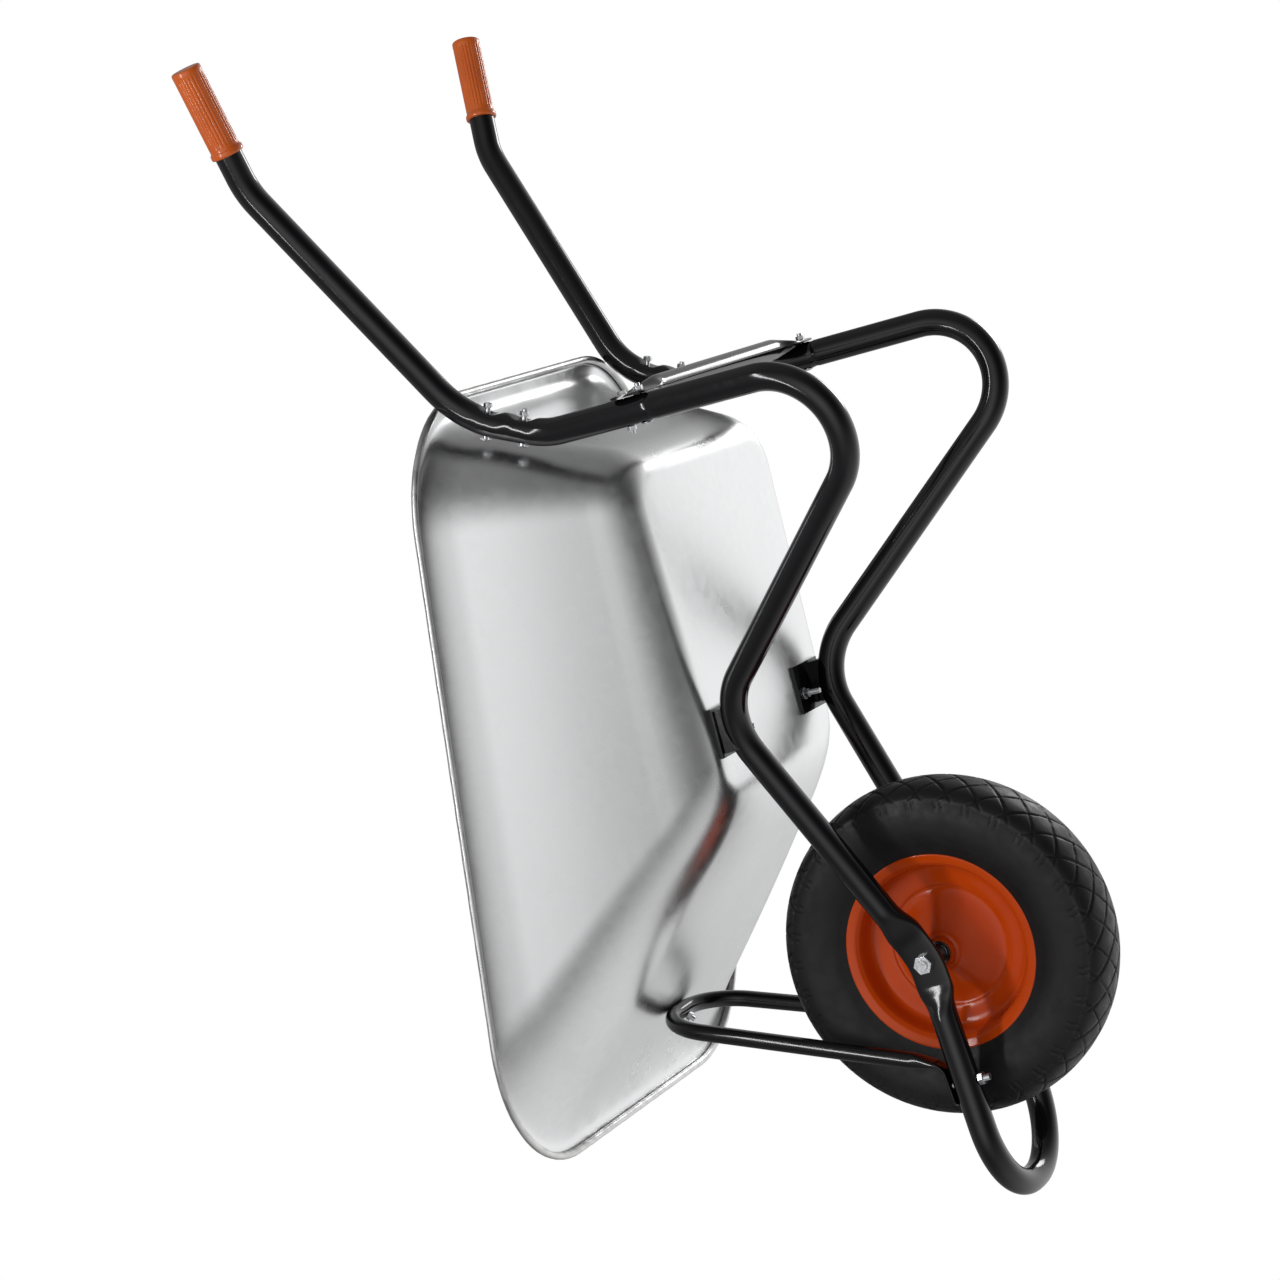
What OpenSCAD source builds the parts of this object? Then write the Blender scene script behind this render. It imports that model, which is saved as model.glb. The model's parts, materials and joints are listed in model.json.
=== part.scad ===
// Builder's wheelbarrow in its working stance: on its tyre and two legs.
// +X points forward to the wheel, +Y to the user's left, +Z up. Millimetres.
// The origin is on the ground, under the middle of the whole barrow.
// Lengths named "back" and "ahead" are measured along X from the wheel's axle.

/* [Wheel] */
// Outer diameter of the tyre
tyre_d = 400; // [340:5:440]
// Width of the tyre at its widest
tyre_w = 100; // [80:2:110]
// Wall of the tyre at the tread
tyre_wall = 9; // [6:1:12]
// Diameter over the rim's lips
rim_d = 234; // [200:2:240]
// Width over the rim's lips
rim_w = 74; // [64:2:78]
// Sheet of the rim
rim_sheet = 1.6; // [1.2:0.1:2.5]
// Outer diameter of the hub tube
hub_d = 34; // [32:1:44]
// Length of the hub tube
hub_length = 80; // [70:2:90]
// Diameter of the axle
axle_d = 12; // [10:1:16]
// Outer diameter of each bearing
bearing_d = 28; // [26:1:30]
// Width of each bearing
bearing_w = 8; // [6:1:10]

/* [Frame tubes] */
// Outer diameter of the frame and handle tubes
tube_d = 32; // [26:1:36]
// Wall of the frame and handle tubes
tube_wall = 1.2; // [1:0.1:2]
// Width of the flattened eye at the axle
eye_w = 44; // [36:1:50]
// Thickness of the flattened eye
eye_t = 8; // [5:1:12]
// Distance of each eye's middle from the centre plane
eye_y = 81; // [76:1:95]

/* [Handles] */
// Grips' ends, back
grip_back = 1225; // [1200:5:1400]
// Grips' ends, from the centre plane
grip_y = 337; // [300:1:380]
// Height of the grips' axes
grip_z = 586; // [520:2:640]
// Length of each grip
grip_length = 106; // [90:2:130]
// Outer diameter of each grip
grip_d = 36; // [34:1:42]
// Handle bends, back
handle_bend_back = 1077; // [1030:1:1100]
// Handle bends, from the centre plane
handle_bend_y = 297; // [260:1:330]
// Height of the upper corner of the rear wall run
wall_run_top_z = 464; // [420:2:500]
// Height of the lower corner of the rear wall run
wall_run_low_z = 370; // [340:2:400]
// Rear wall run, from the centre plane
wall_run_y = 215; // [190:1:225]

/* [Legs and hoop] */
// Height of the seam where the leg tube enters the handle tube
seam_z = 224; // [200:2:260]
// Length of the leg tube inside the handle tube
sleeve_length = 60; // [45:5:80]
// Leg corners, back
leg_back = 680; // [620:5:720]
// Leg corners, from the centre plane
leg_y = 282; // [240:1:320]
// Bend radius of the legs
leg_bend_r = 78; // [64:2:90]
// Cradle corners under the tray, back
cradle_back = 348; // [330:1:370]
// Cradle corners, from the centre plane
cradle_y = 145; // [130:5:170]
// Height of the cradle corners
cradle_z = 313; // [300:1:330]
// Bend radius of the cradle corners
cradle_bend_r = 88; // [70:2:110]
// Tip of the hoop's axis, ahead
hoop_ahead = 289; // [260:2:320]
// Half the width of the hoop between its tube axes
hoop_y = 94; // [90:1:110]
// Drop of the hoop's axis from the axle to its tip
hoop_drop = 5; // [-10:1:15]
// Bend radius of the hoop
hoop_bend_r = 86; // [70:1:88]

/* [Braces] */
// Diameter of the front brace tube
brace_d = 20; // [16:1:24]
// Height of the front brace's top
brace_top_z = 566; // [520:2:600]
// Half the width of the front brace's top
brace_top_y = 69; // [60:1:80]
// Bend radius of the front brace's top corners
brace_bend_r = 62; // [50:1:66]
// Front brace's lower bolts, ahead
brace_foot_ahead = 144; // [130:2:160]
// Diameter of the cross brace between the legs
cross_brace_d = 26; // [20:1:30]
// Thickness of the flattened ends of the braces
pad_t = 4; // [3:0.5:6]

/* [Tray] */
// Tray's rear rim edge, back
rim_rear_back = 792; // [740:2:820]
// Height of the tray's rear rim
rim_rear_z = 494; // [470:2:520]
// Half the width of the tray at the rear rim
rim_rear_y = 307; // [270:2:330]
// Tray's front rim edge, ahead
rim_front_ahead = 100; // [70:2:130]
// Height of the tray's front rim
rim_front_z = 667; // [640:2:700]
// Half the width of the tray at the front rim
rim_front_y = 345; // [300:2:370]
// Corner radius of the rear rim
rim_rear_r = 150; // [120:5:180]
// Corner radius of the front rim
rim_front_r = 163; // [130:5:190]
// Tray floor's rear edge, back
floor_rear_back = 655; // [640:1:670]
// Height of the tray floor's rear edge
floor_rear_z = 297; // [296:1:302]
// Half the width of the floor at the rear
floor_rear_y = 200; // [180:2:215]
// Tray floor's front edge, back
floor_front_back = 235; // [220:2:260]
// Height of the tray floor's front edge
floor_front_z = 331; // [326:1:336]
// Half the width of the floor at the front
floor_front_y = 184; // [170:2:200]
// Corner radius of the floor
floor_r = 62; // [45:1:70]
// Width of the flange along the sides
flange_side = 18; // [12:1:24]
// Width of the flange along the rear
flange_rear = 38; // [30:1:44]
// Width of the flange along the front
flange_front = 33; // [20:1:36]
// Diameter of the rolled rim
bead_d = 9; // [7:1:12]
// Sheet of the tray
tray_sheet = 1; // [0.8:0.1:2]

/* [Fasteners] */
// Bolts through the tubes
bolt_d = 8; // [6:1:8]
// Bolts through the tray
tray_bolt_d = 6; // [5:1:6]

/* [Hidden] */
$fn = 48;

fit = 0.1; // radial clearance between bolts, sleeves and their holes
running_fit = 0.05; // radial clearance between the axle and the bearings
gap = 0.5; // side clearance between turning and standing pieces
tube_r = tube_d / 2;
sides = [1, -1];

function unit(v) = v / norm(v);
function flip(p, side) = [p[0], p[1] * side, p[2]];

// The axle's place along X puts the origin under the middle of the barrow
grip_dir = unit([grip_back - handle_bend_back, handle_bend_y - grip_y, 0]);
rear_reach = grip_back + grip_d / 2 * abs(grip_dir[1]);
front_reach = hoop_ahead + tube_r;
wheel_x = (rear_reach - front_reach) / 2;
wheel_z = tyre_d / 2;

// ---- Planes of the tray's floor and rim ----
floor_rear_x = wheel_x - floor_rear_back;
floor_front_x = wheel_x - floor_front_back;
function floor_at(x) = floor_rear_z
    + (floor_front_z - floor_rear_z) * (x - floor_rear_x) / (floor_front_x - floor_rear_x);
floor_tilt = atan2(floor_front_z - floor_rear_z, floor_front_x - floor_rear_x);
floor_down = [sin(floor_tilt), 0, -cos(floor_tilt)];
rim_rear_x = wheel_x - rim_rear_back;
rim_front_x = wheel_x + rim_front_ahead;
function rim_at(x) = rim_rear_z + (rim_front_z - rim_rear_z) * (x - rim_rear_x) / (rim_front_x - rim_rear_x);
// Foot of the rear wall's outer face, the way up it, and the way that it faces
rear_foot = [floor_rear_x, 0, floor_rear_z];
rear_up = unit([rim_rear_x + flange_rear, 0, rim_at(rim_rear_x + flange_rear) - tray_sheet] - rear_foot);
rear_out = [-rear_up[2], 0, rear_up[0]];
// Foot and head of the front wall's outer face, and the way that it faces
wall_foot = [floor_front_x, 0, floor_front_z];
wall_head = [rim_front_x - flange_front, 0, rim_at(rim_front_x - flange_front) - tray_sheet];
front_out = unit([wall_head[2] - wall_foot[2], 0, wall_foot[0] - wall_head[0]]);

// Point at height z, on an axis that stands off the rear wall by the tube's radius and a clearance
function by_rear_wall(z, y, clear) =
    let (off = rear_out * (tube_r + clear), k = (z - rear_foot[2] - off[2]) / rear_up[2])
    rear_foot + rear_up * k + off + [0, y, 0];
run_clear = [2.4, 3.5]; // at the wall run's lower and upper corner, where the tray's wall is rounded

// Corners of the left side's tubes
grip_end = [wheel_x - grip_back, grip_y, grip_z];
handle_corner = [wheel_x - handle_bend_back, handle_bend_y, grip_z];
run_top = by_rear_wall(wall_run_top_z, wall_run_y, run_clear[1]);
run_low = by_rear_wall(wall_run_low_z, wall_run_y, run_clear[0]);
cradle = [wheel_x - cradle_back, cradle_y, cradle_z];
eye = [wheel_x, eye_y, wheel_z];
hoop_corner = [wheel_x + hoop_ahead, hoop_y, wheel_z - hoop_drop];

// Bend of radius r at corner b between a and c: [start, end, centre, angle]
function bend_of(a, b, c, r) =
    let (u = unit(a - b), w = unit(c - b), turn = 180 - acos(u * w), t = r * tan(turn / 2))
    [b + u * t, b + w * t, b + unit(u + w) * r / cos(turn / 2), turn];

// The leg corner's height that puts the leg's underside on the ground
function leg_low(z) =
    let (c = [wheel_x - leg_back, leg_y, z], q = bend_of(run_low, c, cradle, leg_bend_r),
        n = unit(cross(q[0] - q[2], q[1] - q[2])))
    q[2][2] - leg_bend_r * sqrt(1 - n[2] * n[2]) - tube_r;
function leg_height(z, tries) = tries == 0 ? z : leg_height(z - leg_low(z), tries - 1);
leg_corner = [wheel_x - leg_back, leg_y, leg_height(-118, 6)];
seam_at = run_low + (leg_corner - run_low) * (run_low[2] - seam_z) / (run_low[2] - leg_corner[2]);
leg_dir = unit(leg_corner - run_low);

// Turns local Z onto the direction v, and local X as near as it can onto the direction x
module aim(p, v, x = [1, 0, 0]) {
    w = unit(v);
    n = cross(w, x);
    b = norm(n) < 0.01 ? unit(cross(w, [0, 1, 0])) : unit(n);
    a = cross(b, w);
    multmatrix([[a[0], b[0], w[0], p[0]], [a[1], b[1], w[1], p[1]], [a[2], b[2], w[2], p[2]], [0, 0, 0, 1]])
        children();
}

// A tube's section, or a rod's where the wall is half of d
module ring_2d(d, wall) {
    difference() {
        circle(d = d);
        if (2 * wall < d)
            circle(d = d - 2 * wall);
    }
}

module straight_tube(a, b, d, wall, lap_a = 0, lap_b = 0) {
    v = unit(b - a);
    aim(a - v * lap_a, v) linear_extrude(norm(b - a) + lap_a + lap_b) ring_2d(d, wall);
}

module bent_tube(a, b, c, r, d, wall) {
    q = bend_of(a, b, c, r);
    u = unit(q[0] - q[2]);
    v = unit(b - a);
    w = cross(u, v);
    m = q[2];
    multmatrix([[u[0], v[0], w[0], m[0]], [u[1], v[1], w[1], m[1]], [u[2], v[2], w[2], m[2]], [0, 0, 0, 1]])
        rotate_extrude(angle = q[3]) translate([r, 0]) ring_2d(d, wall);
}

// A tube through a list of corners, with one bend radius for each inner corner. Each bend's wall is
// thicker by a hair, and the straight runs reach a little way into it, so that the runs are one piece.
lap = 0.5;
hair = 0.05;
module tube_run(corners, radii, d, wall) {
    last = len(corners) - 1;
    for (i = [1 : last - 1])
        bent_tube(corners[i - 1], corners[i], corners[i + 1], radii[i - 1], d + 2 * hair, wall + 2 * hair);
    for (i = [0 : last - 1]) {
        first_run = i == 0;
        last_run = i == last - 1;
        start = first_run ? corners[0]
            : bend_of(corners[i - 1], corners[i], corners[i + 1], radii[i - 1])[1];
        end = last_run ? corners[last]
            : bend_of(corners[i], corners[i + 1], corners[i + 2], radii[i])[0];
        straight_tube(start, end, d, wall, first_run ? 0 : lap, last_run ? 0 : lap);
    }
}

module rod(a, b, d) {
    aim(a, b - a) cylinder(h = norm(b - a), d = d);
}

// A hexagon bolt: its head stands on p, and its shank runs from p along v
module hex_bolt(p, v, d, shank) {
    aim(p, v) cylinder(h = shank, d = d);
    aim(p, -v) rotate([0, 0, 30]) cylinder(h = 0.65 * d, d = 1.9 * d, $fn = 6);
}

// A mushroom-headed bolt, placed in the same way
module round_bolt(p, v, d, shank) {
    aim(p, v) cylinder(h = shank, d = d);
    aim(p, -v) intersection() {
        cylinder(h = 0.4 * d, d = 2.2 * d);
        translate([0, 0, -1.55 * d]) sphere(r = 1.95 * d);
    }
}

module hex_nut(p, v, d) {
    aim(p, v) difference() {
        rotate([0, 0, 30]) cylinder(h = 0.8 * d, d = 1.9 * d, $fn = 6);
        translate([0, 0, -1]) cylinder(h = 0.8 * d + 2, d = d + 2 * fit);
    }
}

module washer(p, v, d) {
    aim(p, v) difference() {
        cylinder(h = 1.6, d = 2.4 * d);
        translate([0, 0, -1]) cylinder(h = 4, d = d + 2 * fit);
    }
}

module bolt_hole(p, v, d, reach) {
    rod(p - unit(v) * reach, p + unit(v) * reach, d + 2 * fit);
}

// ---- Places of the bolts, for the left side ----
wall_dir = unit(run_top - run_low);
wall_out = unit([-wall_dir[2], 0, wall_dir[0]]);
run_length = norm(run_top - run_low);
rear_bolts = [for (share = [0.28, 0.72]) run_low + wall_dir * run_length * share];
back_out = unit(cross([0, 1, 0], leg_dir));
// Bolts through the sleeve joint, above the seam: the lower one, and the one that also holds the brace
sleeve_bolt_up = 12;
pad_bolt_up = 34;
sleeve_bolt_at = seam_at - leg_dir * sleeve_bolt_up;
pad_bolt_at = seam_at - leg_dir * pad_bolt_up;
bracket_bolt_back = 321;
bracket_bolt_in = 46; // the bracket's bolt, inward of the cradle tube
bracket_bolt_at = [wheel_x - bracket_bolt_back, cradle_y - bracket_bolt_in, 0];
foot_at = eye + (hoop_corner - eye) * brace_foot_ahead / hoop_ahead;
foot_up = unit(cross(hoop_corner - eye, [0, 1, 0]));

// ---- Frame ----
// Where the flat eye ends and where the round tube begins, measured from the axle
eye_arm = 30;
round_from = 72;
module eye_plate(side) {
    back = unit(cradle - eye);
    ahead = unit(hoop_corner - eye);
    at = flip(eye, side);
    translate(at) rotate([90, 0, 0]) linear_extrude(eye_t, center = true) difference() {
        union() {
            circle(d = eye_w);
            for (way = [back, ahead])
                rotate(atan2(way[2], way[0])) translate([0, -eye_w / 2]) square([eye_arm, eye_w]);
        }
        circle(d = axle_d + 2 * fit);
    }
    // From the flat eye to the round tube
    for (way = [back, ahead])
        hull() {
            translate(at) rotate([0, -atan2(way[2], way[0]), 0])
                translate([eye_arm - 1, 0, 0]) cube([1, eye_t - 0.4, eye_w - 0.4], center = true);
            aim(flip(eye + way * round_from, side), flip(way, side))
                cylinder(h = 1, d = tube_d - 0.8, $fn = 32);
        }
}

hoop_r = min(hoop_bend_r, hoop_y - 4); // the hoop keeps a short straight run across its tip
module main_frame_tube() color("#17181b") {
    back = unit(cradle - eye);
    ahead = unit(hoop_corner - eye);
    difference() {
        union() {
            for (side = sides) {
                tube_run([flip(seam_at, side), flip(leg_corner, side), flip(cradle, side),
                    flip(eye + back * (round_from - 1), side)],
                    [leg_bend_r, cradle_bend_r], tube_d, tube_wall);
                eye_plate(side);
                // Reduced end inside the handle tube, and its shoulder inside the leg tube
                straight_tube(flip(seam_at + leg_dir * 3, side),
                    flip(seam_at - leg_dir * sleeve_length, side),
                    tube_d - 2 * tube_wall - 2 * fit, tube_wall);
                straight_tube(flip(seam_at + leg_dir, side), flip(seam_at + leg_dir * 4, side),
                    tube_d - tube_wall, tube_wall + fit);
            }
            tube_run([eye + ahead * (round_from - 1), hoop_corner, flip(hoop_corner, -1),
                flip(eye + ahead * (round_from - 1), -1)], [hoop_r, hoop_r], tube_d, tube_wall);
        }
        for (side = sides) {
            for (at = [sleeve_bolt_at, pad_bolt_at])
                bolt_hole(flip(at, side), flip(back_out, side), tray_bolt_d, tube_d);
            bolt_hole(flip(foot_at, side), foot_up, bolt_d, tube_d);
        }
    }
}

handle_radii = [105, 112, 100]; // at the handle's bend and at the rear wall run's two corners
module handle_tube(side) color("#17181b") {
    difference() {
        tube_run([flip(grip_end + grip_dir * (grip_cap + 0.2), side), flip(handle_corner, side),
            flip(run_top, side), flip(run_low, side), flip(seam_at, side)], handle_radii, tube_d, tube_wall);
        for (at = rear_bolts)
            bolt_hole(flip(at, side), wall_out, tray_bolt_d, tube_d);
        for (at = [sleeve_bolt_at, pad_bolt_at])
            bolt_hole(flip(at, side), flip(back_out, side), tray_bolt_d, tube_d);
    }
}

module left_handle_tube() handle_tube(1);
module right_handle_tube() handle_tube(-1);

grip_collar = 5; // length of the collar at the grip's inner end
grip_cap = 3.8; // thickness of the grip's closed end
module grip(side) color("#d2500f") {
    aim(flip(grip_end, side), flip(grip_dir, side)) difference() {
        union() {
            cylinder(h = grip_length, d = grip_d);
            translate([0, 0, grip_length - grip_collar]) cylinder(h = grip_collar, d = grip_d + 3);
        }
        translate([0, 0, grip_cap]) cylinder(h = grip_length, d = tube_d + 2 * fit);
    }
}

module left_grip() grip(1);
module right_grip() grip(-1);

// ---- Braces and brackets ----
brace_wall = 1.5;
pad_long = 44; // flattened end of the cross brace, along the leg
pad_wide = 34;
pad_at = (sleeve_bolt_at + pad_bolt_at) / 2 + back_out * (tube_r + pad_t / 2 + fit);
module cross_brace() color("#17181b") {
    taper = 66; // from the bolts to where the brace is round
    taper_in = 15; // middle of the flat stretch that the taper starts from, and its width
    taper_wide = 16;
    difference() {
        union() {
            for (side = sides) {
                aim(flip(pad_at, side), flip(back_out, side), flip(leg_dir, side))
                    cube([pad_long, pad_wide, pad_t], center = true);
                hull() {
                    aim(flip(pad_at - [0, taper_in, 0], side), flip(back_out, side), flip(leg_dir, side))
                        cube([pad_long - 4, taper_wide, pad_t - 0.4], center = true);
                    aim(flip(pad_at - [0, taper, 0], side), [0, side, 0])
                        cylinder(h = 1, d = cross_brace_d - 0.8, $fn = 32);
                }
            }
            straight_tube(pad_at - [0, taper, 0], flip(pad_at - [0, taper, 0], -1),
                cross_brace_d, brace_wall, lap, lap);
        }
        for (side = sides)
            for (at = [sleeve_bolt_at, pad_bolt_at])
                bolt_hole(flip(at, side), flip(back_out, side), tray_bolt_d, tube_d);
    }
}

// The brace's top lies just clear of the tray's front wall
wall_clear = brace_d / 2 + 1;
wall_share = (brace_top_z - wall_foot[2] - front_out[2] * wall_clear) / (wall_head[2] - wall_foot[2]);
brace_top = wall_foot + (wall_head - wall_foot) * wall_share + front_out * wall_clear + [0, brace_top_y, 0];
foot_pad = foot_at + foot_up * (tube_r + pad_t / 2 + fit);
foot_dir = unit(brace_top - foot_pad);
foot_long = 46; // flattened foot of the front brace, along the hoop
foot_wide = 22;
brace_low = foot_pad + [-foot_long / 2 + 1, 0, 3] + foot_dir * 34;
brace_r = min(brace_bend_r, brace_top_y - 4);
module front_brace() color("#17181b") {
    difference() {
        union() {
            tube_run([brace_low, brace_top, flip(brace_top, -1), flip(brace_low, -1)],
                [brace_r, brace_r], brace_d, brace_wall);
            for (side = sides) {
                aim(flip(foot_pad, side), foot_up) cube([foot_long, foot_wide, pad_t], center = true);
                hull() {
                    aim(flip(foot_pad, side), foot_up) translate([3 - foot_long / 2, 0, 0])
                        cube([6, foot_wide - 0.4, pad_t - 0.4], center = true);
                    aim(flip(brace_low, side), flip(foot_dir, side))
                        cylinder(h = 1, d = brace_d - 0.8, $fn = 32);
                }
            }
        }
        for (side = sides)
            bolt_hole(flip(foot_at, side), foot_up, bolt_d, tube_d * 2);
        bolt_hole([brace_top[0], 0, brace_top[2]], front_out, tray_bolt_d, brace_d);
    }
}

bracket_x = wheel_x - bracket_bolt_back - 6;
saddle_d = tube_d + 2 * fit;
module tray_bracket(side) color("#17181b") {
    top = cradle_y + 12;
    bottom = bracket_bolt_at[1] - 15;
    difference() {
        union() {
            translate([bracket_x, side * (top + bottom) / 2, floor_at(bracket_x)]) rotate([0, -floor_tilt, 0])
                translate([0, 0, -2 - fit]) cube([58, top - bottom, pad_t], center = true);
            translate([bracket_x, side * cradle_y, floor_at(bracket_x) - 14])
                cube([50, 16, 20], center = true);
        }
        bent_tube(flip(leg_corner, side), flip(cradle, side), flip(eye, side), cradle_bend_r,
            saddle_d, saddle_d / 2);
        bolt_hole([bracket_bolt_at[0], side * bracket_bolt_at[1], floor_at(bracket_bolt_at[0])],
            floor_down, tray_bolt_d, 20);
    }
}

module left_tray_bracket() tray_bracket(1);
module right_tray_bracket() tray_bracket(-1);

// ---- Tray ----
corner_steps = 8;
// Rounded corner of radius r at b, between a and c, as plan points
function rounded(a, b, c, r) =
    let (q = bend_of([a[0], a[1], 0], [b[0], b[1], 0], [c[0], c[1], 0], r), m = q[2], u = q[0] - m,
        v = unit(b - a) * r)
    [for (i = [0 : corner_steps]) let (t = q[3] * i / corner_steps)
        [m[0] + u[0] * cos(t) + v[0] * sin(t), m[1] + u[1] * cos(t) + v[1] * sin(t)]];

// Rounded four-sided outline between two edges across the barrow
function outline(rear_x, rear_y, rear_r, front_x, front_y, front_r) =
    let (p = [[rear_x, rear_y], [front_x, front_y], [front_x, -front_y], [rear_x, -rear_y]],
        r = [rear_r, front_r, front_r, rear_r])
    [for (i = [0 : 3]) each rounded(p[(i + 3) % 4], p[i], p[(i + 1) % 4], r[i])];

// Outline on the floor's plane, moved inward and up
function floor_ring(inset, up) =
    [for (p = outline(floor_rear_x + inset, floor_rear_y - inset, floor_r - inset,
        floor_front_x - inset, floor_front_y - inset, floor_r - inset)) [p[0], p[1], floor_at(p[0]) + up]];

// Outline on the rim's plane: inset by e at the rear, f at the front and s at the sides, and moved up
function rim_ring(e, f, s, up) =
    [for (p = outline(rim_rear_x + e, rim_rear_y - s, rim_rear_r - (e + s) / 2,
        rim_front_x - f, rim_front_y - s, rim_front_r - (f + s) / 2)) [p[0], p[1], rim_at(p[0]) + up]];

function mix(a, b, t) = [for (i = [0 : len(a) - 1]) a[i] * (1 - t) + b[i] * t];
// Curved edge from ring a to ring c, pulled towards ring b
function curve(a, b, c, t) = mix(mix(a, b, t), mix(b, c, t), t);

edge_r = 20; // how far the fold between floor and walls reaches over the floor
edge_share = 0.1; // and its share of the walls' height
function skin(inset, up, top) =
    let (low = floor_ring(inset, up), flat = floor_ring(inset + edge_r, up),
        high = rim_ring(flange_rear + inset, flange_front + inset, flange_side + inset, top),
        wall = mix(low, high, edge_share))
    concat([flat], [for (t = [0.25, 0.5, 0.75]) curve(flat, low, wall, t)], [wall, high]);

bead_r = bead_d / 2;
bead = [for (a = [45 : -45 : -270])
    let (s = bead_r + bead_r * cos(a)) rim_ring(s, s, s, bead_r * (sin(a) - 1))];
module tray_shell() {
    outer = skin(0, 0, -tray_sheet);
    inner = skin(tray_sheet, tray_sheet, 0);
    rings = concat(outer, bead, [for (i = [len(inner) - 1 : -1 : 0]) inner[i]]);
    n = len(outer[0]);
    m = len(rings);
    points = [for (r = rings) each r];
    faces = [
        for (j = [0 : m - 2])
            for (i = [0 : n - 1])
                let (a = j * n + i, b = j * n + (i + 1) % n, c = a + n, d = b + n)
                each [[a, c, b], [b, c, d]],
        [for (i = [0 : n - 1]) i],
        [for (i = [n - 1 : -1 : 0]) (m - 1) * n + i]
    ];
    polyhedron(points, faces);
}

module tray() color("#b9bcbf") {
    difference() {
        tray_shell();
        for (side = sides) {
            for (at = rear_bolts)
                rod(flip(at, side), flip(at - wall_out * 40, side), tray_bolt_d + 2 * fit);
            bolt_hole([bracket_bolt_at[0], side * bracket_bolt_at[1], floor_at(bracket_bolt_at[0])],
                floor_down, tray_bolt_d, 20);
        }
        rod([brace_top[0], 0, brace_top[2]], [brace_top[0], 0, brace_top[2]] - front_out * 30,
            tray_bolt_d + 2 * fit);
    }
}

// ---- Wheel ----
module at_wheel() {
    translate([wheel_x, 0, wheel_z]) rotate([-90, 0, 0]) children();
}

// Turns an outline of [radius, distance along the axle] about the axle
module turned(points) {
    at_wheel() rotate_extrude() polygon(points);
}

// A sheet of thickness s whose one side follows the points
function sheet(path, s) =
    let (last = len(path) - 1)
    concat(path, [for (i = [last : -1 : 0])
        let (d = unit(path[min(i + 1, last)] - path[max(i - 1, 0)])) path[i] + s * [d[1], -d[0]]]);

half_w = tyre_w / 2;
tyre_r = tyre_d / 2;
bead_seat_r = rim_d / 2 - 14;
side_r = (tyre_r + bead_seat_r) / 2 + 6;
// Section of one side of the tyre, from the crown to the bead, drawn in by a wall
function tyre_side(wall, bead_wall) = [
    [tyre_r - wall, 0], [tyre_r - 1.5 - wall, half_w * 0.4], [tyre_r - 8 - wall, half_w * 0.76],
    [tyre_r - 20 - wall * 0.7, half_w * 0.93 - wall * 0.6], [side_r + 8, half_w - wall * 0.6],
    [side_r - 12, half_w * 0.98 - wall * 0.6], [rim_d / 2 + 7, half_w * 0.84 - wall * 0.6],
    [rim_d / 2 + 1.2, half_w * 0.77 - bead_wall]];
module tyre() color("#1c1c1d") {
    seat = rim_w / 2 - 5;
    toe = [[rim_d / 2 + 0.7, rim_w / 2 - 0.8], [rim_d / 2 - 3, rim_w / 2 - 1.8], [bead_seat_r + 2.5, seat],
        [bead_seat_r + 0.3, seat - 2], [bead_seat_r + 0.3, seat - 10]];
    hollow = [[bead_seat_r + 4, seat - 11]];
    half = concat(tyre_side(0, 0), toe, hollow);
    inside = tyre_side(tyre_wall, 6);
    wall = concat(half, [for (i = [len(inside) - 1 : -1 : 0]) inside[i]]);
    for (side = sides)
        turned([for (p = wall) [p[0], p[1] * side]]);
}

module inner_tube() color("#141414") {
    low = bead_seat_r + 6;
    high = tyre_r - tyre_wall - 3;
    at_wheel() rotate_extrude() translate([(low + high) / 2, 0]) ring_2d(min(high - low, tyre_w - 24), 2);
}

valve_turn = 15; // above the straight ahead, so that the frame's arm hides the valve
valve_out = [cos(valve_turn), 0, sin(valve_turn)];
valve_at = [wheel_x, 14, wheel_z] + valve_out * (bead_seat_r + 6);
valve_dir = unit([0, 0.62, 0] - valve_out);
valve_length = 38;
valve_foot_d = 14;
valve_foot = 3;
module valve_stem() color("#161616") {
    aim(valve_at, valve_dir) difference() {
        union() {
            cylinder(h = valve_length, d = 8);
            cylinder(h = valve_foot, d = valve_foot_d);
        }
        translate([0, 0, valve_foot + 1]) cylinder(h = 40, d = 2.5);
    }
}

module valve_cap() color("#161616") {
    aim(valve_at + valve_dir * (valve_length + fit), valve_dir) cylinder(h = 6, d = 9);
}

hub_r = hub_d / 2;
lip = rim_w / 2;
// From the lip down the flank and the well, over the flat where the halves meet, and out along the dish
rim_path = [[rim_d / 2, lip], [rim_d / 2 - 2.5, lip - 1], [bead_seat_r + 2, lip - 3],
    [bead_seat_r - 1, lip - 7], [bead_seat_r - 4, 12], [bead_seat_r - 8, 6.5],
    [74, 3.6], [70, 1.8], [64, 1.8],
    [30, 21], [hub_r + 4, 29], [hub_r + fit, 31]];
module rim_half(side) color("#d2500f") {
    difference() {
        turned([for (p = sheet(rim_path, rim_sheet)) [p[0], p[1] * side]]);
        if (side == 1)
            aim(valve_at, valve_dir) cylinder(h = 60, d = 8.6);
    }
}

module left_rim_half() rim_half(1);
module right_rim_half() rim_half(-1);

module hub_tube() color("#d2500f") {
    at_wheel() difference() {
        cylinder(h = hub_length, d = hub_d, center = true);
        cylinder(h = hub_length + 2, d = bearing_d - 6, center = true);
        for (side = sides)
            translate([0, 0, side * hub_length / 2])
                cylinder(h = 2 * bearing_w + 2, d = bearing_d, center = true);
    }
}

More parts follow.
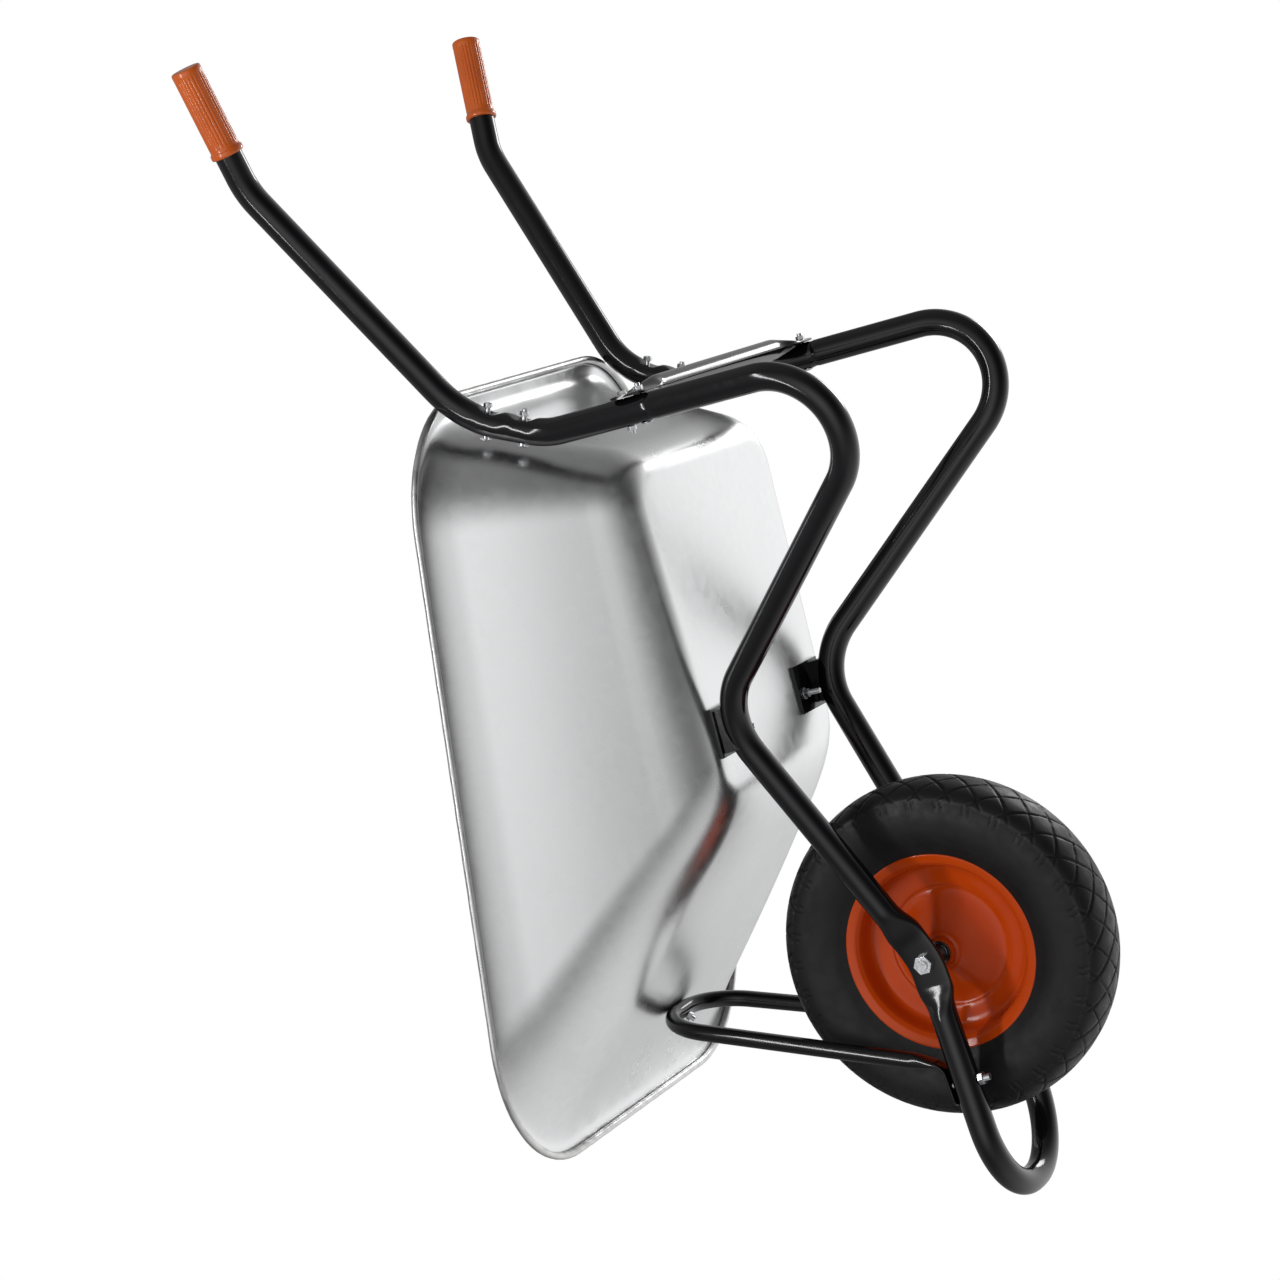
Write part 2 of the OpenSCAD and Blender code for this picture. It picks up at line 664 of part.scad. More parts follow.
module bearing(side) color("#9a9da1") {
    at_wheel() translate([0, 0, side * (hub_length / 2 - 1 - bearing_w / 2)]) difference() {
        cylinder(h = bearing_w, d = bearing_d, center = true);
        cylinder(h = bearing_w + 2, d = axle_d + 2 * running_fit, center = true);
        for (face = sides)
            translate([0, 0, face * bearing_w / 2]) difference() {
                cylinder(h = 1, d = bearing_d - 5, center = true);
                cylinder(h = 2, d = axle_d + 6, center = true);
            }
    }
}

module left_bearing() bearing(1);
module right_bearing() bearing(-1);

module axle_spacer(side) color("#202124") {
    inner = hub_length / 2 + gap;
    outer = eye_y - eye_t / 2;
    at_wheel() translate([0, 0, side * (inner + outer) / 2]) difference() {
        cylinder(h = outer - inner, d = axle_d + 8, center = true);
        cylinder(h = outer, d = axle_d + 2 * fit, center = true);
    }
}

module left_axle_spacer() axle_spacer(1);
module right_axle_spacer() axle_spacer(-1);

eye_face = eye_y + eye_t / 2;
module axle_bolt() color("#c9ccd0") {
    hex_bolt([wheel_x, -eye_face, wheel_z], [0, 1, 0], axle_d, 2 * eye_face + axle_d * 0.95);
}

module axle_nut() color("#c9ccd0") {
    hex_nut([wheel_x, eye_face, wheel_z], [0, 1, 0], axle_d);
}

// ---- Fasteners ----
rear_nut_lift = [fit, 2.2]; // the upper nut stands clear of the bend beside it
rear_head = tube_r + 1 + tray_sheet * 1.12 + 0.2;
module rear_wall_bolts() color("#c9ccd0") {
    for (side = sides, at = rear_bolts)
        round_bolt(flip(at - wall_out * rear_head, side), wall_out, tray_bolt_d, rear_head + tube_r + 7.5);
}

module rear_wall_nuts() color("#c9ccd0") {
    for (side = sides, i = [0, 1])
        hex_nut(flip(rear_bolts[i] + wall_out * (tube_r + rear_nut_lift[i]), side), wall_out, tray_bolt_d);
}

module sleeve_bolts() color("#c9ccd0") {
    stack = tube_r + pad_t + 2 * fit;
    for (side = sides)
        round_bolt(flip(sleeve_bolt_at - back_out * tube_r, side), back_out, tray_bolt_d,
            tube_r + stack + 8);
}

module sleeve_nuts() color("#c9ccd0") {
    for (side = sides)
        hex_nut(flip(sleeve_bolt_at + back_out * (tube_r + pad_t + 2 * fit), side), back_out, tray_bolt_d);
}

module cross_brace_bolts() color("#c9ccd0") {
    stack = tube_r + pad_t + 2 * fit;
    for (side = sides)
        hex_bolt(flip(pad_bolt_at + back_out * stack, side), -back_out, tray_bolt_d, stack + tube_r + 9);
}

module cross_brace_nuts() color("#c9ccd0") {
    for (side = sides)
        hex_nut(flip(pad_bolt_at - back_out * (tube_r + fit), side), -back_out, tray_bolt_d);
}

// Place on the floor's underside over a bracket, s below it
function bracket_place(side, s) =
    [bracket_bolt_at[0], side * bracket_bolt_at[1], floor_at(bracket_bolt_at[0])] + floor_down * s;
module bracket_bolts() color("#c9ccd0") {
    for (side = sides)
        round_bolt(bracket_place(side, -tray_sheet - 0.1), floor_down, tray_bolt_d, 26);
}

module bracket_washers() color("#c9ccd0") {
    for (side = sides)
        washer(bracket_place(side, pad_t + 2 * fit), floor_down, tray_bolt_d);
}

module bracket_nuts() color("#c9ccd0") {
    for (side = sides)
        hex_nut(bracket_place(side, pad_t + 2 * fit + 1.7), floor_down, tray_bolt_d);
}

module brace_foot_bolts() color("#c9ccd0") {
    for (side = sides)
        round_bolt(flip(foot_pad + foot_up * pad_t / 2, side), -foot_up, bolt_d, pad_t + tube_d + 14);
}

module brace_foot_nuts() color("#c9ccd0") {
    for (side = sides)
        hex_nut(flip(foot_at - foot_up * (tube_r + fit), side), -foot_up, bolt_d);
}

brace_mid = [brace_top[0], 0, brace_top[2]];
module brace_top_bolt() color("#c9ccd0") {
    reach = wall_clear + tray_sheet + 0.3;
    round_bolt(brace_mid - front_out * reach, front_out, tray_bolt_d, reach + brace_d / 2 + 10);
}

module brace_top_nut() color("#c9ccd0") {
    hex_nut(brace_mid + front_out * (brace_d / 2 + fit), front_out, tray_bolt_d);
}

main_frame_tube();
left_handle_tube();
right_handle_tube();
left_grip();
right_grip();
cross_brace();
front_brace();
left_tray_bracket();
right_tray_bracket();
tray();
axle_bolt();
axle_nut();
left_axle_spacer();
right_axle_spacer();
rear_wall_bolts();
rear_wall_nuts();
sleeve_bolts();
sleeve_nuts();
cross_brace_bolts();
cross_brace_nuts();
bracket_bolts();
bracket_nuts();
bracket_washers();
brace_foot_bolts();
brace_foot_nuts();
brace_top_bolt();
brace_top_nut();
tyre();
inner_tube();
valve_stem();
valve_cap();
left_rim_half();
right_rim_half();
hub_tube();
left_bearing();
right_bearing();
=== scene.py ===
import json
import math

import bpy
import numpy as np
from mathutils import Matrix, Vector


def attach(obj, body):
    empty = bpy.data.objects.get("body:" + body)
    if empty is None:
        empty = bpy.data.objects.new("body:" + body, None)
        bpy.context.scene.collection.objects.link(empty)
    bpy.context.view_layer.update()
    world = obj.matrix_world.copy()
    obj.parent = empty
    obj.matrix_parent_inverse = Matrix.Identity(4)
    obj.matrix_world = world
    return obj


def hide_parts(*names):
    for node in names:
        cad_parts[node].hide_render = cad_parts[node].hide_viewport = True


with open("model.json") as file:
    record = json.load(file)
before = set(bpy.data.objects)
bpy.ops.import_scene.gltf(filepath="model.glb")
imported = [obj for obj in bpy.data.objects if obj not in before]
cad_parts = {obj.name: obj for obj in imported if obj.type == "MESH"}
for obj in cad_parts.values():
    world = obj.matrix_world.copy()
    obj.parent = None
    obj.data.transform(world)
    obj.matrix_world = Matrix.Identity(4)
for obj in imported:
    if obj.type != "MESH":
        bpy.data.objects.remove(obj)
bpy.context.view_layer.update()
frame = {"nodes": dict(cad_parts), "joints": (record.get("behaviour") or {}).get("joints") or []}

MM = 0.001
scene = bpy.context.scene

# ------------------------------------------------- sizes, in millimetres, as in part.scad
wheel_at = np.array(frame["joints"][0]["pos_m"]) / MM
WX, WZ = float(wheel_at[0]), float(wheel_at[2])
tube_d, brace_d, cross_d, pad_t = 32.0, 20.0, 26.0, 4.0
tube_r = tube_d / 2
eye_w, eye_t, eye_y = 44.0, 8.0, 81.0
grip_end = np.array([WX - 1225, 337, 586.0])
handle_corner = np.array([WX - 1077, 297, 586.0])
run_top = np.array([WX - 758, 215, 464.0])
run_low = np.array([WX - 711, 215, 370.0])
leg_corner_xy = (WX - 680, 282.0)
cradle = np.array([WX - 348, 145, 313.0])
eye = np.array([WX, eye_y, WZ])
hoop_corner = np.array([WX + 289, 94, 195.0])
seam_z, leg_r, cradle_r, hoop_r = 224.0, 78.0, 88.0, 86.0
handle_radii = [105.0, 112.0, 100.0]
brace_top_y, brace_top_z = 69.0, 566.0
brace_r, foot_ahead = 62.0, 144.0
foot_long, foot_wide = 46.0, 22.0
rim_rear = (WX - 792, 307.0, 494.0, 150.0)
rim_front = (WX + 100, 345.0, 667.0, 163.0)
floor_rear = (WX - 655, 200.0, 297.0)
floor_front = (WX - 235, 184.0, 331.0)
floor_r, flange_side, flange_rear, flange_front, bead_d = 62.0, 18.0, 38.0, 33.0, 9.0
edge_r, edge_share, tray_sheet = 30.0, 0.22, 1.0
tyre_d, tyre_w, rim_d, rim_w, hub_d = 400.0, 100.0, 234.0, 74.0, 34.0
SIDES = (("left", 1.0), ("right", -1.0))


# ---------------------------------------------------------------- small geometry helpers
def unit(v):
    v = np.asarray(v, float)
    return v / np.linalg.norm(v)


def flip(p, side):
    return np.array([p[0], p[1] * side, p[2]])


def smooth(t):
    t = np.clip(t, 0.0, 1.0)
    return t * t * (3 - 2 * t)


def bend_of(a, b, c, r):
    u, w = unit(a - b), unit(c - b)
    turn = math.pi - math.acos(float(np.clip(u @ w, -1, 1)))
    t = r * math.tan(turn / 2)
    return b + u * t, b + w * t, b + unit(u + w) * r / math.cos(turn / 2), turn


def path_of(corners, radii, step=5.0):
    """Points along a line of straight runs with round bends, about a step apart."""
    corners = [np.asarray(c, float) for c in corners]
    points = [corners[0]]

    def run_to(end):
        start = points[-1]
        n = max(1, int(round(np.linalg.norm(end - start) / step)))
        points.extend(start + (end - start) * i / n for i in range(1, n + 1))

    for i in range(1, len(corners) - 1):
        start, end, centre, turn = bend_of(corners[i - 1], corners[i], corners[i + 1], radii[i - 1])
        run_to(start)
        u, v = unit(start - centre), unit(corners[i] - corners[i - 1])
        n = max(4, int(math.ceil(turn * radii[i - 1] / step)))
        for k in range(1, n + 1):
            a = turn * k / n
            points.append(centre + radii[i - 1] * (u * math.cos(a) + v * math.sin(a)))
    run_to(corners[-1])
    return np.array(points)


def frames_of(points, normal):
    """Tangents and two cross axes that don't twist, starting from a normal."""
    tangents = np.gradient(points, axis=0)
    tangents /= np.linalg.norm(tangents, axis=1)[:, None]
    u = np.asarray(normal, float)
    us, vs = [], []
    for t in tangents:
        u = unit(u - (u @ t) * t)
        us.append(u)
        vs.append(np.cross(t, u))
    return tangents, np.array(us), np.array(vs)


def lengths_of(points):
    return np.concatenate([[0], np.cumsum(np.linalg.norm(np.diff(points, axis=0), axis=1))])


def section(wide, thick, n=36):
    """A section n points round: a circle where wide is thick, and a flattened tube where it isn't.
    Thick lies along the first axis."""
    a = 2 * math.pi * np.arange(n) / n
    flat = 1 - min(thick / wide, 1.0)
    p = 2 + 3.2 * flat
    c, s = np.cos(a), np.sin(a)
    x = np.sign(c) * np.abs(c) ** (2 / p) * thick / 2
    y = np.sign(s) * np.abs(s) ** (2 / (2 + flat * 0.8)) * wide / 2
    return np.stack([x, y], 1)


def rings_along(points, us, vs, sections):
    return np.array([p + s[:, :1] * u + s[:, 1:] * v
                     for p, u, v, s in zip(points, us, vs, sections)])


def new_mesh(name, verts, faces, material, body, replaces=(), crease=None, mm=True):
    mesh = bpy.data.meshes.new(name)
    verts = np.asarray(verts, float) * (MM if mm else 1.0)
    mesh.from_pydata([tuple(v) for v in verts], [], [tuple(int(i) for i in f) for f in faces])
    mesh.validate()
    mesh.update()
    mesh.shade_smooth()
    if crease is not None:
        mesh.set_sharp_from_angle(angle=math.radians(crease))
    mesh.materials.append(material)
    obj = bpy.data.objects.new(name, mesh)
    scene.collection.objects.link(obj)
    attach(obj, body)
    if replaces:
        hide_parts(*replaces)
    return obj


def skin_faces(rows, n, base=0, closed=True, rows_closed=False):
    """Quads between rows of n points each."""
    faces = []
    for j in range(rows if rows_closed else rows - 1):
        a, b = base + j * n, base + ((j + 1) % rows) * n
        for i in range(n if closed else n - 1):
            k = (i + 1) % n
            faces.append((a + i, a + k, b + k, b + i))
    return faces


def loft(rings, caps=True, rows_closed=False):
    rings = np.asarray(rings)
    rows, n = rings.shape[:2]
    faces = skin_faces(rows, n, rows_closed=rows_closed)
    if caps and not rows_closed:
        faces += [tuple(range(n - 1, -1, -1)), tuple((rows - 1) * n + i for i in range(n))]
    return rings.reshape(-1, 3), faces


def turned(profile, centre, axis, start, n=96):
    """Turns an open profile of [radius, distance along the axis] about an axis."""
    axis = unit(axis)
    u = unit(np.asarray(start, float) - (np.asarray(start, float) @ axis) * axis)
    v = np.cross(axis, u)
    a = 2 * math.pi * np.arange(n) / n
    out = np.cos(a)[:, None] * u + np.sin(a)[:, None] * v
    rings = np.array([centre + axis * z + out * r for r, z in profile])
    return loft(rings, caps=False)


def curve_through(points, per=6):
    """Smooth line through points, for turned profiles."""
    p = np.asarray(points, float)
    out = []
    for i in range(len(p) - 1):
        a, b, c, d = p[max(i - 1, 0)], p[i], p[i + 1], p[min(i + 2, len(p) - 1)]
        for k in range(per):
            t = k / per
            out.append(0.5 * ((2 * b) + (c - a) * t + (2 * a - 5 * b + 4 * c - d) * t ** 2
                              + (3 * b - a - 3 * c + d) * t ** 3))
    out.append(p[-1])
    return np.array(out)


# ---------------------------------------------------------------- materials
class Nodes:
    """Makes nodes and joins them, for one material."""

    def __init__(self, name):
        self.material = bpy.data.materials.new(name)
        self.material.use_nodes = True
        self.tree = self.material.node_tree
        self.tree.nodes.clear()
        self.out = self.add("ShaderNodeOutputMaterial")
        self.shader = self.add("ShaderNodeBsdfPrincipled")
        self.link(self.shader.outputs[0], self.out.inputs[0])
        self.coord = self.add("ShaderNodeTexCoord").outputs["Object"]

    def add(self, kind, **values):
        node = self.tree.nodes.new(kind)
        for key, value in values.items():
            setattr(node, key, value)
        return node

    def link(self, a, b):
        self.tree.links.new(a, b)

    def set(self, **values):
        for key, value in values.items():
            self.shader.inputs[key.replace("_", " ")].default_value = value

    def noise(self, scale, detail=3.0, rough=0.5, stretch=None, distortion=0.0):
        node = self.add("ShaderNodeTexNoise")
        node.inputs["Scale"].default_value = scale
        node.inputs["Detail"].default_value = detail
        node.inputs["Roughness"].default_value = rough
        node.inputs["Distortion"].default_value = distortion
        source = self.coord
        if stretch:
            mapping = self.add("ShaderNodeMapping")
            mapping.inputs["Scale"].default_value = stretch
            self.link(self.coord, mapping.inputs["Vector"])
            source = mapping.outputs[0]
        self.link(source, node.inputs["Vector"])
        return node.outputs["Fac"]

    def spread(self, value, low, high, start=0.35, end=0.65):
        node = self.add("ShaderNodeMapRange")
        node.interpolation_type = "SMOOTHSTEP"
        ends = (("From Min", start), ("From Max", end), ("To Min", low), ("To Max", high))
        for key, number in ends:
            node.inputs[key].default_value = number
        self.link(value, node.inputs["Value"])
        return node.outputs["Result"]

    def colours(self, value, *stops):
        node = self.add("ShaderNodeValToRGB")
        ramp = node.color_ramp
        while len(ramp.elements) < len(stops):
            ramp.elements.new(0.5)
        for element, (at, colour) in zip(ramp.elements, stops):
            element.position = at
            element.color = (*colour, 1.0)
        self.link(value, node.inputs["Fac"])
        return node.outputs["Color"]

    def maths(self, operation, a, b=None):
        node = self.add("ShaderNodeMath", operation=operation)
        for socket, value in zip(node.inputs, (a, b)):
            if value is None:
                continue
            if isinstance(value, (int, float)):
                socket.default_value = value
            else:
                self.link(value, socket)
        return node.outputs[0]

    def bump(self, height, strength, distance, under=None):
        node = self.add("ShaderNodeBump")
        node.inputs["Strength"].default_value = strength
        node.inputs["Distance"].default_value = distance
        self.link(height, node.inputs["Height"])
        if under is not None:
            self.link(under, node.inputs["Normal"])
        return node.outputs["Normal"]

    def put(self, socket, value):
        self.link(value, self.shader.inputs[socket])


def paint(name, colour, dark, rough=(0.2, 0.3), ior=1.45):
    """Powder coat: an even gloss with faint orange peel, dust and small scuffs."""
    m = Nodes(name)
    m.put("Base Color", m.colours(m.noise(9, 4), (0.3, dark), (0.7, colour)))
    scuffs = m.noise(55, 6, 0.65, stretch=(1.0, 0.35, 1.0))
    m.put("Roughness", m.spread(scuffs, rough[0], rough[1], 0.4, 0.75))
    m.set(IOR=ior)
    peel = m.bump(m.noise(420, 2), 0.05, 0.0004)
    m.put("Normal", m.bump(m.noise(1500, 2), 0.02, 0.0002, peel))
    return m.material


def galvanised(name, rough=(0.3, 0.4), tint=(0.71, 0.715, 0.72), spangle=0.25, grain=1.0):
    """Galvanised sheet: soft satin metal with faint crystals, drawing marks and cloudy patches."""
    m = Nodes(name)
    crystal = m.add("ShaderNodeTexVoronoi")
    crystal.inputs["Scale"].default_value = 95
    m.link(m.coord, crystal.inputs["Vector"])
    shade = m.add("ShaderNodeSeparateColor")
    m.link(crystal.outputs["Color"], shade.inputs[0])
    cloud = m.noise(7, 5, 0.55)
    mixed = m.maths("ADD", m.maths("MULTIPLY", shade.outputs[0], spangle),
                    m.maths("MULTIPLY", cloud, 1 - spangle))
    dark = tuple(c * 0.9 for c in tint)
    m.put("Base Color", m.colours(mixed, (0.25, dark), (0.75, tint)))
    m.put("Roughness", m.spread(mixed, rough[0], rough[1], 0.25, 0.75))
    m.set(Metallic=1.0)
    lines = m.noise(160, 3, 0.6, stretch=(0.05, 1.0, 1.0))
    under = m.bump(lines, 0.03 * grain, 0.0003)
    m.put("Normal", m.bump(m.noise(26, 3), 0.05 * grain, 0.0012, under))
    return m.material


def zinc(name, tint=(0.66, 0.67, 0.69), rough=(0.22, 0.36)):
    m = Nodes(name)
    spots = m.noise(240, 4, 0.6)
    m.put("Base Color", m.colours(spots, (0.3, tuple(c * 0.82 for c in tint)), (0.7, tint)))
    m.put("Roughness", m.spread(spots, rough[0], rough[1]))
    m.set(Metallic=1.0)
    m.put("Normal", m.bump(m.noise(900, 3), 0.12, 0.0002))
    return m.material


def rubber(name, colour=(0.006, 0.006, 0.0064), rough=(0.42, 0.56), dust=(0.013, 0.0125, 0.012)):
    m = Nodes(name)
    wear = m.noise(14, 6, 0.62)
    m.put("Base Color", m.colours(wear, (0.45, colour), (0.85, dust)))
    m.put("Roughness", m.spread(m.noise(60, 5), rough[0], rough[1]))
    m.set(IOR=1.36)
    fine = m.bump(m.noise(900, 3), 0.15, 0.0003)
    m.put("Normal", m.bump(m.noise(110, 4), 0.08, 0.0008, fine))
    return m.material


def plastic(name, colour, dark, rough=(0.16, 0.26)):
    m = Nodes(name)
    m.put("Base Color", m.colours(m.noise(30, 3), (0.3, dark), (0.7, colour)))
    m.put("Roughness", m.spread(m.noise(80, 5), rough[0], rough[1]))
    m.set(IOR=1.47, Coat_Weight=0.25, Coat_Roughness=0.08)
    m.put("Normal", m.bump(m.noise(700, 2), 0.05, 0.0003))
    return m.material


BLACK = paint("frame_black", (0.0056, 0.0052, 0.0068), (0.0038, 0.0036, 0.0046),
              rough=(0.1, 0.17), ior=1.47)
ORANGE = paint("rim_orange", (0.6, 0.066, 0.004), (0.52, 0.052, 0.003),
               rough=(0.14, 0.22), ior=1.33)
GRIP = plastic("grip_orange", (0.68, 0.125, 0.012), (0.6, 0.105, 0.01))
SHEET = galvanised("tray_galvanised", rough=(0.27, 0.34))
RIM_BEAD = galvanised("tray_rolled_rim", rough=(0.3, 0.5), tint=(0.62, 0.62, 0.615),
                      spangle=0.6, grain=4.0)
ZINC = zinc("zinc_plate")
STEEL = zinc("bearing_steel", tint=(0.56, 0.57, 0.58), rough=(0.15, 0.25))
TYRE = rubber("tyre_rubber")
INNER = rubber("inner_rubber", colour=(0.02, 0.02, 0.02))
DARK = paint("spacer_dark", (0.02, 0.02, 0.021), (0.012, 0.012, 0.013), rough=(0.3, 0.45))


# ---------------------------------------------------------------- tubes
def leg_corner_of():
    """The leg corner's height that puts the leg's underside on the ground, as in part.scad."""
    z = -118.0
    for _ in range(6):
        c = np.array([leg_corner_xy[0], leg_corner_xy[1], z])
        start, end, centre, _turn = bend_of(run_low, c, cradle, leg_r)
        n = unit(np.cross(start - centre, end - centre))
        z -= centre[2] - leg_r * math.sqrt(1 - n[2] ** 2) - tube_r
    return np.array([leg_corner_xy[0], leg_corner_xy[1], z])


leg_corner = leg_corner_of()
leg_dir = unit(leg_corner - run_low)
seam_at = run_low + (leg_corner - run_low) * (run_low[2] - seam_z) / (run_low[2] - leg_corner[2])
back_out = unit(np.cross([0, 1, 0], leg_dir))
sleeve_bolt_at = seam_at - leg_dir * 12
pad_bolt_at = seam_at - leg_dir * 34


def main_frame():
    """Half of the long tube from the hoop's tip back to the seam, then mirrored."""
    tip = np.array([hoop_corner[0], 0.0, hoop_corner[2]])
    eye_r = 90.0  # a soft turn at the eye, hidden in the flat plate
    points = path_of([tip, hoop_corner, eye, cradle, leg_corner, seam_at],
                     [hoop_r, eye_r, cradle_r, leg_r], 4.0)
    along = lengths_of(points)
    at_eye = along[np.argmin(np.linalg.norm(points - eye, axis=1))]
    tangents, us, vs = frames_of(points, [1.0, 0, 0])
    i_eye = int(np.argmin(np.linalg.norm(points - eye, axis=1)))
    # turn the frames so that the thin direction lies along Y at the eye
    y = np.array([0.0, 1.0, 0.0])
    y = unit(y - (y @ tangents[i_eye]) * tangents[i_eye])
    a = math.atan2(y @ vs[i_eye], y @ us[i_eye])
    us, vs = us * math.cos(a) + vs * math.sin(a), vs * math.cos(a) - us * math.sin(a)
    sections = []
    centres = points.copy()
    for i, s in enumerate(along):
        d = s - at_eye  # ahead of the eye is negative
        flat = 1 - smooth((abs(d) - 27) / (38 if d < 0 else 52))
        wide = tube_d + (eye_w - tube_d) * smooth(flat * 1.25)
        thick = tube_d + (eye_t - tube_d) * flat
        # the hard pinch ahead of the axle, where the plate turns back into a tube
        pinch = math.exp(-((d + 44) / 9.0) ** 2)
        wide -= 6.5 * pinch
        thick += 3.0 * math.exp(-((d + 36) / 5.0) ** 2)
        ring = section(wide, thick)
        end = s - along[-1] + 0.8
        if end > 0:
            ring = ring * (1 - 0.05 * end)
        sections.append(ring)
        centres[i, 1] += (eye_y - centres[i, 1]) * flat * 0.6
    rings = rings_along(centres, us, vs, sections)
    rings[0, :, 1] = 0.0
    mirrored = rings[1:][::-1] * [1, -1, 1]
    verts, faces = loft(np.concatenate([mirrored, rings]))
    new_mesh("main_frame_tube_painted", verts, faces, BLACK, "frame",
             ["main_frame_tube"], crease=50)


main_frame()

wall_dir = unit(run_top - run_low)
wall_out = unit([-wall_dir[2], 0, wall_dir[0]])
run_length = float(np.linalg.norm(run_top - run_low))
rear_bolts = [run_low + wall_dir * run_length * s for s in (0.28, 0.72)]


def handle_tube(name, side):
    grip_dir = unit(handle_corner - grip_end)
    points = path_of([grip_end + grip_dir * 4, handle_corner, run_top, run_low, seam_at],
                     handle_radii, 4.0)
    along = lengths_of(points)
    _t, us, vs = frames_of(points, [0, 0, 1.0])
    mid = (rear_bolts[0] + rear_bolts[1]) / 2
    at = along[np.argmin(np.linalg.norm(points - mid, axis=1))]
    rings = []
    for i, (p, s) in enumerate(zip(points, along)):
        ring = section(tube_d, tube_d)
        offset = ring[:, :1] * us[i] + ring[:, 1:] * vs[i]
        # the flats pressed in where the two nuts sit, with a swelling between and beside them
        press = max(math.exp(-((s - at - 22) / 15.0) ** 4), math.exp(-((s - at + 22) / 15.0) ** 4))
        out = offset @ wall_out
        flat = tube_r - 4.6 * press
        over = np.clip(out - flat, 0, None)
        offset = offset - over[:, None] * wall_out * 0.93
        offset[:, 1] *= 1 + 0.05 * press
        end = s - along[-1] + 1.0
        if end > 0:
            offset = offset * (1 - 0.05 * end)
        rings.append(p + offset)
    rings = np.array(rings) * [1, side, 1]
    verts, faces = loft(rings)
    new_mesh(name + "_handle_tube_painted", verts, faces if side > 0 else [f[::-1] for f in faces],
             BLACK, "frame", [name + "_handle_tube"], crease=50)


for name, side in SIDES:
    handle_tube(name, side)

pad_at = (sleeve_bolt_at + pad_bolt_at) / 2 + back_out * (tube_r + pad_t / 2 + 0.1)


def rounded_end(s, wide, r):
    """Width of a flat end with round corners, s from its tip."""
    if s >= r:
        return wide
    return wide - 2 * (r - math.sqrt(max(r * r - (r - s) ** 2, 0.0)))


def cross_brace():
    inner, outer = pad_at[1] - 66, pad_at[1] + 17
    y = np.concatenate([[outer - 0.05], outer - np.array([0.6, 1.5, 3, 5, 8]),
                        np.arange(outer - 12, inner - 8, -4.0), np.linspace(inner - 10, 0, 24)])
    rings = []
    for v in y:
        s = outer - v
        flat = 1 - smooth((s - 36) / 52)
        wide = cross_d + (44 - cross_d) * smooth(flat * 1.3)
        thick = cross_d + (pad_t - cross_d) * flat
        if s < 9:
            wide = max(rounded_end(s, wide, 9), 4)
        ring = section(wide, thick, 40)
        centre = np.array([pad_at[0], v, pad_at[2]])
        rings.append(centre + ring[:, :1] * back_out + ring[:, 1:] * unit(leg_dir * [1, 0, 1]))
    rings = np.array(rings)
    verts, faces = loft(np.concatenate([rings, rings[:-1][::-1] * [1, -1, 1]]))
    new_mesh("cross_brace_painted", verts, faces, BLACK, "frame",
             ["cross_brace"], crease=45)


cross_brace()

foot_at = np.array([WX + foot_ahead, eye_y + (hoop_corner[1] - eye_y) * foot_ahead / 289,
                    WZ + (hoop_corner[2] - WZ) * foot_ahead / 289])
foot_pad = foot_at + [0, 0, tube_r + pad_t / 2 + 0.6]


def rim_z(x):
    slope = (rim_front[2] - rim_rear[2]) / (rim_front[0] - rim_rear[0])
    return rim_rear[2] + slope * (x - rim_rear[0])


# the brace's top lies just clear of the tray's front wall
wall_foot = np.array([floor_front[0], 0, floor_front[2]])
wall_head_x = rim_front[0] - flange_front
wall_head = np.array([wall_head_x, 0, rim_z(wall_head_x) - tray_sheet])
front_out = unit([wall_head[2] - wall_foot[2], 0, wall_foot[0] - wall_head[0]])
wall_clear = brace_d / 2 + 1
wall_rise = wall_head[2] - wall_foot[2]
wall_share = (brace_top_z - wall_foot[2] - front_out[2] * wall_clear) / wall_rise
brace_top = (wall_foot + (wall_head - wall_foot) * wall_share + front_out * wall_clear
             + [0, brace_top_y, 0])


def front_brace():
    toe = foot_pad + [foot_long / 2, 0, 0]
    heel = foot_pad + [-foot_long / 2 - 2, 0, 1]
    top_mid = np.array([brace_top[0], 0.0, brace_top[2]])
    points = path_of([toe, heel, brace_top, top_mid], [16.0, brace_r], 3.0)
    along = lengths_of(points)
    _t, us, vs = frames_of(points, [0, 0, 1.0])
    sections = []
    for s in along:
        flat = 1 - smooth((s - foot_long + 4) / 46)
        wide = brace_d + (foot_wide - brace_d) * flat + 4 * flat * (1 - flat)
        thick = brace_d + (pad_t - brace_d) * flat
        if s < 8:
            wide = max(rounded_end(s + 0.1, wide, 8), 3)
        sections.append(section(wide, thick, 32))
    rings = rings_along(points, us, vs, sections)
    rings[-1, :, 1] = 0.0
    verts, faces = loft(np.concatenate([rings, rings[:-1][::-1] * [1, -1, 1]]))
    new_mesh("front_brace_painted", verts, faces, BLACK, "frame",
             ["front_brace"], crease=45)


front_brace()


# ---------------------------------------------------------------- tray
def corner_arc(a, b, c, r, steps=18):
    a, b, c = (np.array([*p, 0.0]) for p in (a, b, c))
    start, _end, centre, turn = bend_of(a, b, c, r)
    u, v = start - centre, unit(b - a) * r
    return [(centre + u * math.cos(turn * i / steps) + v * math.sin(turn * i / steps))[:2]
            for i in range(steps + 1)]


SIDE_STEPS, END_STEPS = 64, 44


